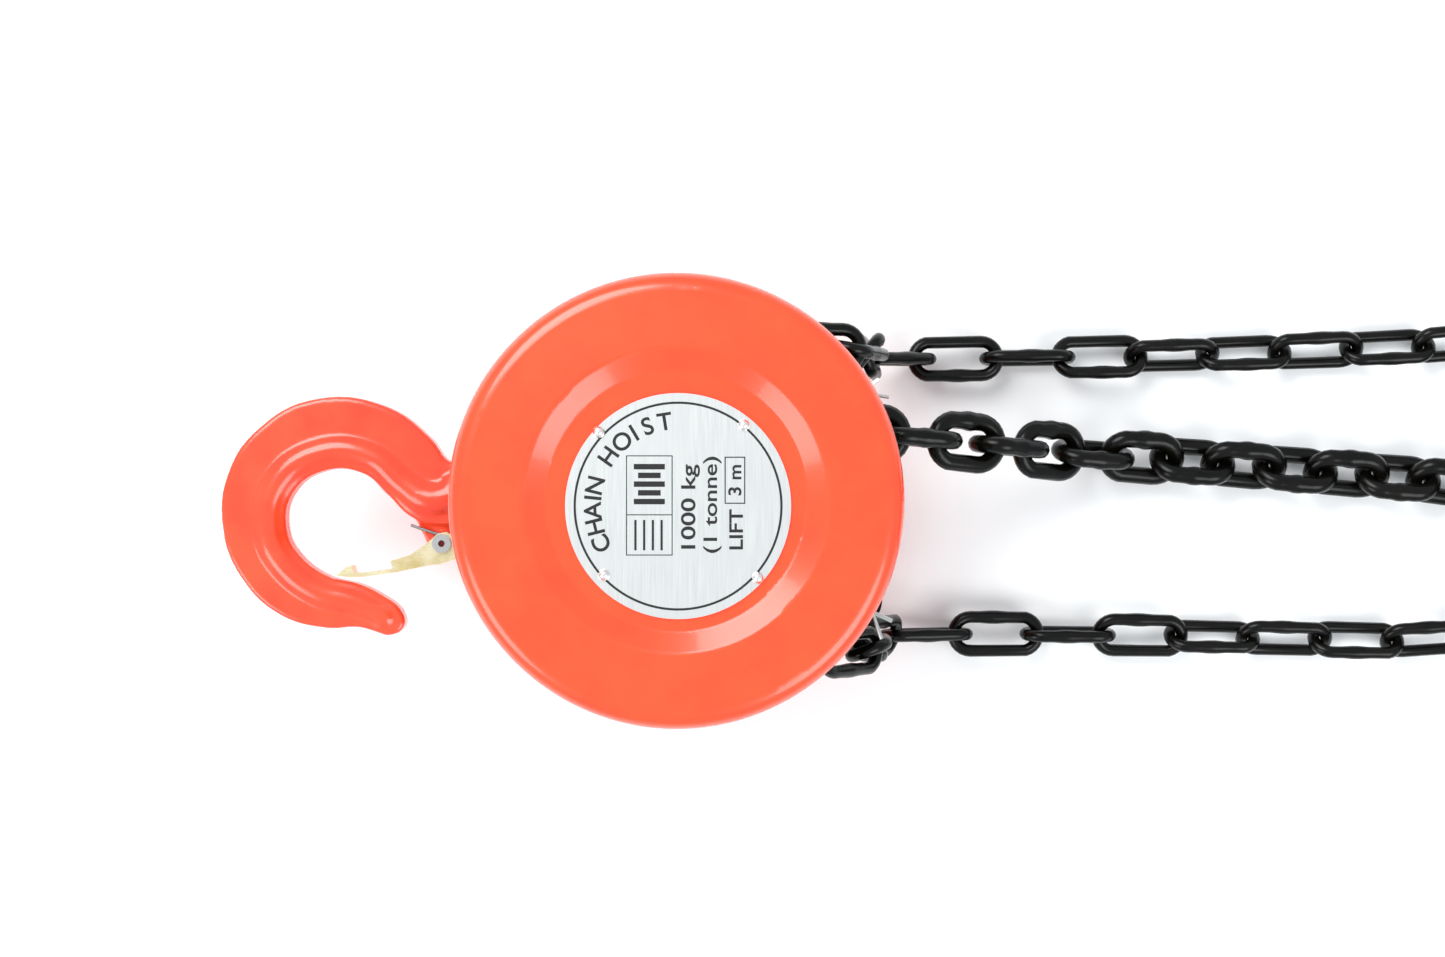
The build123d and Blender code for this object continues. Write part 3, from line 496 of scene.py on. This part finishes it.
HOOK_OUTLINE = (
    (20, -8.4), (24.5, -10.5), (28.4, -19.0), (40.6, -33.2), (62.6, -41.0), (82.0, -36.6), (96.2, -24.4),
    (102.6, -6), (100.4, 10.8), (91.0, 25.6), (77, 33.6), (66.2, 36.0), (61.6, 38.6), (56.9, 41.0),
    (51.8, 39.0), (51.6, 34.0), (57, 27.0), (62.8, 22.2), (72.4, 17.0), (80.4, 7.0), (82.0, -1.0),
    (77.6, -12.0), (65.4, -17.1), (53.0, -13.2), (46.5, -4.0), (41.0, 4.6), (33.0, 9.0), (20, 8.4),
)
# The thick inner rib: place along its middle, and its half width
HOOK_RIB = (
    (57.6, 34.8, 5.6), (61.6, 30.8, 6.0), (67.0, 27.0, 6.2), (76.5, 21.7, 6.4), (86.0, 9.5, 6.6),
    (88.2, -1.1, 6.6), (82.1, -16.2, 6.6), (65.6, -23.3, 6.5), (48.9, -17.8, 6.4), (40.9, -6.8, 6.6),
    (33.5, 0.4, 7.2), (25.0, 0.6, 7.0), (19.0, 0.0, 6.6),
)
WEB_HALF = 5.9
RIB_HALF = 6.5           # the rib's usual half width, which is scaled to the hook's thickness
NECK_WIDE, NECK_SLIM, NECK_LONG, NECK_MIDDLE = 10.0, 8.6, 13.0, 20.5
EAR_THICK = 8.0
SKIN_STEP = 0.75         # voxel size of the blended forging
COLLAR = (10.5, 10.4, 16.0, 1.2)             # radius, start, end and edge of the collar on the shank
SHANK_RADIUS, SHANK_END, SHANK_EDGE = 6.5, 12.0, 0.5
TOP_SHANK_START, LOW_SHANK_START = -9.6, -15.9
EAR_OUTLINE = ((24, 4), (27, 12), (30, 18.0), (33.5, 20.2), (37.4, 17.6), (40, 5))


def curve_to_mesh(name, data):
    """Turns curve data into a mesh piece."""
    piece = bpy.data.objects.new(name, data)
    bpy.context.collection.objects.link(piece)
    make_active(piece)
    bpy.ops.object.convert(target="MESH")
    return name_piece(name)


def hook_web():
    """The hook's flat web: its outline as a smooth closed curve, filled and thickened."""
    data = bpy.data.curves.new("hook_web", "CURVE")
    data.dimensions = "2D"
    data.fill_mode = "BOTH"
    data.resolution_u = 8
    data.extrude = WEB_HALF * MM
    spline = data.splines.new("BEZIER")
    spline.bezier_points.add(len(HOOK_OUTLINE) - 1)
    spline.use_cyclic_u = True
    for point, (u, v) in zip(spline.bezier_points, HOOK_OUTLINE):
        point.co = (u * MM, v * MM, 0)
        point.handle_left_type = "AUTO"
        point.handle_right_type = "AUTO"
    return curve_to_mesh("hook_web", data)


def hook_rib():
    """The rounded rib that the load sits in: an oval bar along the bowl, as thick as the whole hook."""
    data = bpy.data.curves.new("hook_rib", "CURVE")
    data.dimensions = "3D"
    data.resolution_u = 8
    data.bevel_depth = MM
    data.bevel_resolution = 6
    data.use_fill_caps = True
    spline = data.splines.new("BEZIER")
    spline.bezier_points.add(len(HOOK_RIB) - 1)
    for point, (u, v, half) in zip(spline.bezier_points, HOOK_RIB):
        point.co = (u * MM, v * MM, 0)
        point.radius = half
        point.handle_left_type = "AUTO"
        point.handle_right_type = "AUTO"
    rib = curve_to_mesh("hook_rib", data)
    pick(rib, "VERT", lambda place: True)
    bpy.ops.transform.resize(value=(1, 1, HOOK_THICK / 2 / RIB_HALF), center_override=(0, 0, 0))
    bpy.ops.object.mode_set(mode="OBJECT")
    tip = HOOK_RIB[0]
    deselect()
    bpy.ops.mesh.primitive_uv_sphere_add(segments=24, ring_count=12, radius=tip[2] * MM,
                                         location=(tip[0] * MM, tip[1] * MM, 0), scale=(1, 1, 1.3))
    return [rib, bpy.context.object]


def forged_hook(name, place, shank_start):
    """A forged hook in its own frame, +X down along its shank and +Y the open side, then put in its place.
    The web, rib, neck and ear are blended into one skin, as a forging die leaves them."""
    along = (0, pi / 2, 0)
    parts = [hook_web(), *hook_rib()]
    deselect()
    bpy.ops.mesh.primitive_cone_add(vertices=48, radius1=NECK_WIDE * MM, radius2=NECK_SLIM * MM,
                                    depth=NECK_LONG * MM, location=(NECK_MIDDLE * MM, 0, 0), rotation=along)
    parts.append(bpy.context.object)
    deselect()
    bpy.ops.mesh.primitive_circle_add(vertices=len(EAR_OUTLINE), radius=0.01, fill_type="NGON")
    ear = bpy.context.object
    for vertex, (u, v) in zip(ear.data.vertices, EAR_OUTLINE):
        vertex.co = (u * MM, v * MM, -EAR_THICK / 2 * MM)
    pick(ear, "FACE", lambda middle, normal: True)
    bpy.ops.mesh.extrude_region_move(TRANSFORM_OT_translate={"value": (0, 0, EAR_THICK * MM)})
    bpy.ops.mesh.select_all(action="SELECT")
    bpy.ops.mesh.normals_make_consistent(inside=False)
    bpy.ops.object.mode_set(mode="OBJECT")
    parts.append(ear)
    skin = join(parts, name)
    blend = skin.modifiers.new("forge", "REMESH")
    blend.mode = "VOXEL"
    blend.voxel_size = SKIN_STEP * MM
    blend.use_smooth_shade = True
    bpy.ops.object.modifier_apply(modifier=blend.name)
    soften = skin.modifiers.new("soften", "SMOOTH")
    soften.factor = 0.5
    soften.iterations = 9
    bpy.ops.object.modifier_apply(modifier=soften.name)
    pieces = [skin]
    shank = (SHANK_RADIUS, shank_start, SHANK_END, SHANK_EDGE)
    for radius, start, end, edge_width in (COLLAR, shank):
        deselect()
        bpy.ops.mesh.primitive_cylinder_add(vertices=48, radius=radius * MM, depth=(end - start) * MM,
                                            location=((start + end) / 2 * MM, 0, 0), rotation=along)
        bevel = bpy.context.object.modifiers.new("edge", "BEVEL")
        bevel.width = edge_width * MM
        bevel.segments = 3
        bpy.ops.object.modifier_apply(modifier=bevel.name)
        pieces.append(bpy.context.object)
    hook = join(pieces, name)
    hook.matrix_world = place
    return hook


def hooks():
    """Both hooks: the top one pinned in the crossbeam, and the bottom one in its block."""
    top_place = Matrix.Translation(Vector(TOP_PIVOT) * MM) @ Matrix.Rotation(radians(TOP_HEADING), 4, "Z")
    top = forged_hook("top_hook_forging", top_place, TOP_SHANK_START)
    settle(top, HOOK_PAINT, "hook_top", smooth=35)
    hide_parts("top_hook")
    low_place = Matrix.Translation((Vector(BLOCK_PIN) + Vector((HOOK_FROM_PIN, 0, 0))) * MM)
    bottom = forged_hook("bottom_hook_forging", low_place, LOW_SHANK_START)
    settle(bottom, HOOK_PAINT, "hook_bottom", smooth=35)
    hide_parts("bottom_hook")
    return bottom


# ---------------------------------------------------------------- nameplate print

# Two words along an arc: each letter with its direction from the plate's centre, in degrees
ARC_LETTERS = (
    ("C", 206), ("H", 194), ("A", 183), ("I", 174.5), ("N", 166), ("H", 144.5), ("O", 131), ("I", 121),
    ("S", 111), ("T", 99),
)
ARC_RADIUS, ARC_SIZE, ARC_BOLD = 26.2, 7.6, 0.016
RING_RADIUS, RING_LINE = 32.0, 0.7
# Lines that read up the plate: words, letter size, place from the centre, name, widening and boldness
RATING_LINES = (
    ("1000 kg", 6.2, (3.4, -1.0), "rating_load", 1.4, 0.014),
    ("(1 tonne)", 6.0, (10.2, 0.4), "rating_tonne", 1.35, 0.012),
    ("LIFT", 5.9, (18.2, -7.4), "rating_lift_word", 1.2, 0.018),
    ("3 m", 5.6, (17.8, 8.0), "rating_lift", 1.15, 0.018),
)
# Boxes: place from the centre, width, height, line width or 0 when filled, and name
PRINTED_BOXES = (
    ((17.6, 8.0), 6.4, 14.6, 0.35, "rating_lift_box"),
    ((-8.9, 0.2), 14.4, 31.0, 0.3, "mark_box"),
    ((-8.9, -2.7), 14.0, 0.3, 0.0, "mark_divider"),
)
MARK_PITCH = 2.7
BAND_WIDTHS = (9.6, 7.0, 9.6, 7.0, 9.6)


def flat_text(words, size, centre, turn, name, widen, bold):
    """Words as a thin printed shape on the nameplate, centred at a place and turned by some degrees."""
    deselect()
    bpy.ops.object.text_add()
    text = bpy.context.object
    text.data.body = words
    text.data.align_x = "CENTER"
    text.data.align_y = "CENTER"
    text.data.size = size * MM
    text.data.offset = size * MM * bold
    text.data.extrude = TEXT_HALF * MM
    bpy.ops.object.convert(target="MESH")
    piece = name_piece(name)
    x, y = centre
    piece.matrix_world = (
        Matrix.Translation(Vector((x, y, PLATE_TOP + TEXT_RAISE)) * MM)
        @ Matrix.Rotation(radians(turn), 4, "Z") @ Matrix.Diagonal((widen, 1, 1, 1))
    )
    return piece


def thicken_print():
    """Gives the flat faces being edited a little thickness downward, and leaves edit mode."""
    bpy.ops.mesh.select_all(action="SELECT")
    bpy.ops.mesh.extrude_region_move(TRANSFORM_OT_translate={"value": (0, 0, -PRINT_THICK * MM)})
    bpy.ops.mesh.select_all(action="SELECT")
    bpy.ops.mesh.normals_make_consistent(inside=False)
    bpy.ops.object.mode_set(mode="OBJECT")


def printed_ring(radius, line):
    """A thin printed ring: a flat disc whose middle is taken out."""
    deselect()
    bpy.ops.mesh.primitive_circle_add(vertices=160, radius=(radius + line / 2) * MM, fill_type="NGON",
                                      location=Vector((*PLATE_CENTRE, PLATE_TOP + PRINT_TOP)) * MM)
    ring = name_piece("printed_ring")
    pick(ring, "FACE", lambda middle, normal: True)
    bpy.ops.mesh.inset(thickness=line * MM)
    bpy.ops.mesh.delete(type="FACE")
    thicken_print()
    return ring


def printed_box(centre, wide, high, line, name):
    """A printed box: an outline with a line width, or filled when the line width is 0."""
    deselect()
    bpy.ops.mesh.primitive_plane_add(size=1, location=Vector((*centre, PLATE_TOP + PRINT_TOP)) * MM)
    frame_box = name_piece(name)
    frame_box.scale = (wide * MM, high * MM, 1)
    bpy.ops.object.transform_apply(location=False, rotation=False, scale=True)
    pick(frame_box, "FACE", lambda middle, normal: True)
    if line:
        bpy.ops.mesh.inset(thickness=line * MM)
        bpy.ops.mesh.delete(type="FACE")
    thicken_print()
    return frame_box


def nameplate_print():
    """The plate's print: a ring, generic words, a box of plain bars and bands, and an arc of letters."""
    x, y = PLATE_CENTRE
    pieces = [printed_ring(RING_RADIUS, RING_LINE)]
    for words, size, (right, up), name, widen, bold in RATING_LINES:
        pieces.append(flat_text(words, size, (x + right, y + up), 90, name, widen, bold))
    for (right, up), wide, high, line, name in PRINTED_BOXES:
        pieces.append(printed_box((x + right, y + up), wide, high, line, name))
    for row, wide in enumerate(BAND_WIDTHS):
        pieces.append(printed_box((x - 8.9, y + 1.4 + MARK_PITCH * row), wide, 1.7, 0.0, f"mark_band_{row}"))
    for row in range(4):
        pieces.append(printed_box((x - 13.2 + MARK_PITCH * row, y - 9.0), 0.7, 9.4, 0.0, f"mark_bar_{row}"))
    for index, (letter, angle) in enumerate(ARC_LETTERS):
        place = (x + ARC_RADIUS * cos(radians(angle)), y + ARC_RADIUS * sin(radians(angle)))
        pieces.append(flat_text(letter, ARC_SIZE, place, angle - 90, f"letter_{index}", 1.0, ARC_BOLD))
    for piece in pieces:
        make_active(piece)
        bpy.ops.object.transform_apply(location=True, rotation=True, scale=True)
    ink = join(pieces, "nameplate_print")
    settle(ink, PLATE_INK, "frame", smooth=0)


# ---------------------------------------------------------------- stage, light and camera

# Name, place in metres, width in metres and power in watts
SOFTBOXES = (
    ("key_softbox", (-0.5, 0.75, 1.1), 0.9, 15),
    ("fill_softbox", (0.8, -0.7, 1.1), 0.9, 10),
    ("side_softbox", (-0.9, -0.6, 0.9), 0.7, 6),
)
CAMERA_PLACE = (0.01435, 0.00694, 0.978)
CAMERA_LENS = 69.28      # millimetres, with a sensor 36 mm wide


def stage():
    """A white floor, a pale world and three soft lamps aimed at the hoist."""
    deselect()
    bpy.ops.mesh.primitive_plane_add(size=6, location=(0, 0, -0.0002))
    floor = name_piece("studio_floor")
    paper = surface("matt_white_paper_sweep", "F6F7F7", 0.0, 0.9)[0]     # rolled matt white paper
    floor.data.materials.append(paper)
    world = bpy.data.worlds.new("pale_studio")
    bpy.context.scene.world = world
    world.use_nodes = True
    back = world.node_tree.nodes["Background"]
    back.inputs["Color"].default_value = linear("F4FAFF")
    back.inputs["Strength"].default_value = 0.8
    for name, place, size, power in SOFTBOXES:
        light = bpy.data.lights.new(name, "AREA")
        light.shape = "DISK"
        light.size = size
        light.energy = power
        lamp = bpy.data.objects.new(name, light)
        bpy.context.collection.objects.link(lamp)
        lamp.location = place
        lamp.rotation_euler = (-Vector(place)).to_track_quat("-Z", "Y").to_euler()


def camera():
    """Looks straight down at the hoist from about a metre."""
    data = bpy.data.cameras.new("overhead_camera")
    data.sensor_width = 36.0
    data.lens = CAMERA_LENS
    data.clip_start = 0.01
    data.clip_end = 20.0
    eye = bpy.data.objects.new("overhead_camera", data)
    bpy.context.collection.objects.link(eye)
    eye.location = CAMERA_PLACE
    bpy.context.scene.camera = eye
    bpy.context.scene.view_settings.view_transform = "Standard"


finish_cad_nodes()
stage()
camera()
load_chain, load_line, on_chain, hand_chain, hand_line = chains()
low_hook = hooks()
nameplate_print()
